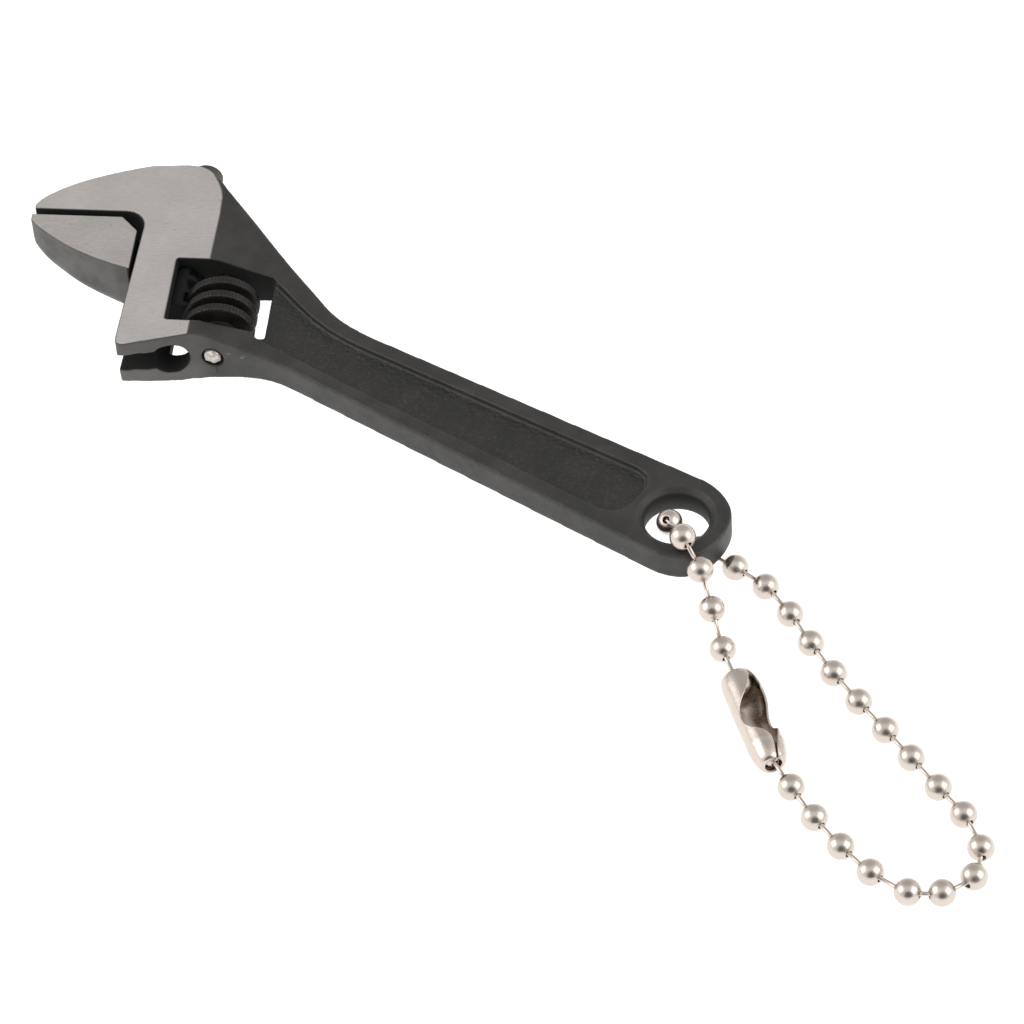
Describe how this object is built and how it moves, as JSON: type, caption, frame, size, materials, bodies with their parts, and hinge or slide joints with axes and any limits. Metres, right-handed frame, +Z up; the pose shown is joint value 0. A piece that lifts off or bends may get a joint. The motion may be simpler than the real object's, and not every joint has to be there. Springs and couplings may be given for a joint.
{
  "type": "mini adjustable wrench on a ball chain",
  "caption": "Pocket-size adjustable wrench: fixed and sliding jaw, worm in a window, sunk handle panel, hang hole and a bead chain with a rolled clasp.",
  "frame": {"origin": "bottom centre of the wrench's bounding box, on the surface that it lies on; the chain is left out of that box", "axes": "+X from the jaws along the handle to the hang hole, +Z up through the wrench's thickness; the jaws lie 29 degrees off +X"},
  "size_m": [0.0976, 0.033, 0.0061],
  "materials": {
    "black_oxide": "black oxide over forged steel, head faces ground to bare steel",
    "ground_steel": "ground flat top, dull side",
    "worm_black": "oiled black",
    "bright_steel": "bare, peened end",
    "nickel": "satin-bright nickel plate"
  },
  "bodies": {
    "body": {"wrench_body": "black_oxide", "worm_pin": "bright_steel"},
    "jaw": {"movable_jaw": "ground_steel"},
    "worm": {"worm": "worm_black"},
    "chain": {"bead_01": "nickel", "bead_02": "nickel", "bead_03": "nickel", "bead_04": "nickel", "bead_05": "nickel", "bead_06": "nickel", "bead_07": "nickel", "bead_08": "nickel", "bead_09": "nickel", "bead_10": "nickel", "bead_11": "nickel", "bead_12": "nickel", "bead_13": "nickel", "bead_14": "nickel", "bead_15": "nickel", "bead_16": "nickel", "bead_17": "nickel", "bead_18": "nickel", "bead_19": "nickel", "bead_20": "nickel", "bead_21": "nickel", "bead_22": "nickel", "bead_23": "nickel", "bead_24": "nickel", "bead_25": "nickel", "bead_26": "nickel", "link_01": "nickel", "link_02": "nickel", "link_03": "nickel", "link_04": "nickel", "link_05": "nickel", "link_06": "nickel", "link_07": "nickel", "link_08": "nickel", "link_09": "nickel", "link_10": "nickel", "link_11": "nickel", "link_12": "nickel", "link_13": "nickel", "link_14": "nickel", "link_15": "nickel", "link_16": "nickel", "link_17": "nickel", "link_18": "nickel", "link_19": "nickel", "link_20": "nickel", "link_21": "nickel", "link_22": "nickel", "link_23": "nickel", "link_24": "nickel", "link_25": "nickel", "clasp": "nickel"}
  },
  "joints": [
    {"name": "jaw_slide", "type": "slide", "parent": "body", "child": "jaw", "axis": [0.4848, -0.8746, 0], "range_m": [-0.0005, 0.008]},
    {"name": "worm_spin", "type": "hinge", "parent": "body", "child": "worm", "pos_m": [-0.01417, -0.00201, 0.0029], "axis": [-0.4848, 0.8746, 0], "range_deg": [-125, 1925]},
    {"name": "chain_swing", "type": "hinge", "parent": "body", "child": "chain", "pos_m": [0.02865, -0.00189, 0.0029], "axis": [0, 0, 1], "range_deg": [-45, 5]}
  ],
  "couplings": [
    {"joint": "worm_spin", "follows": "jaw_slide", "rad_per_m": 4188.8}
  ]
}
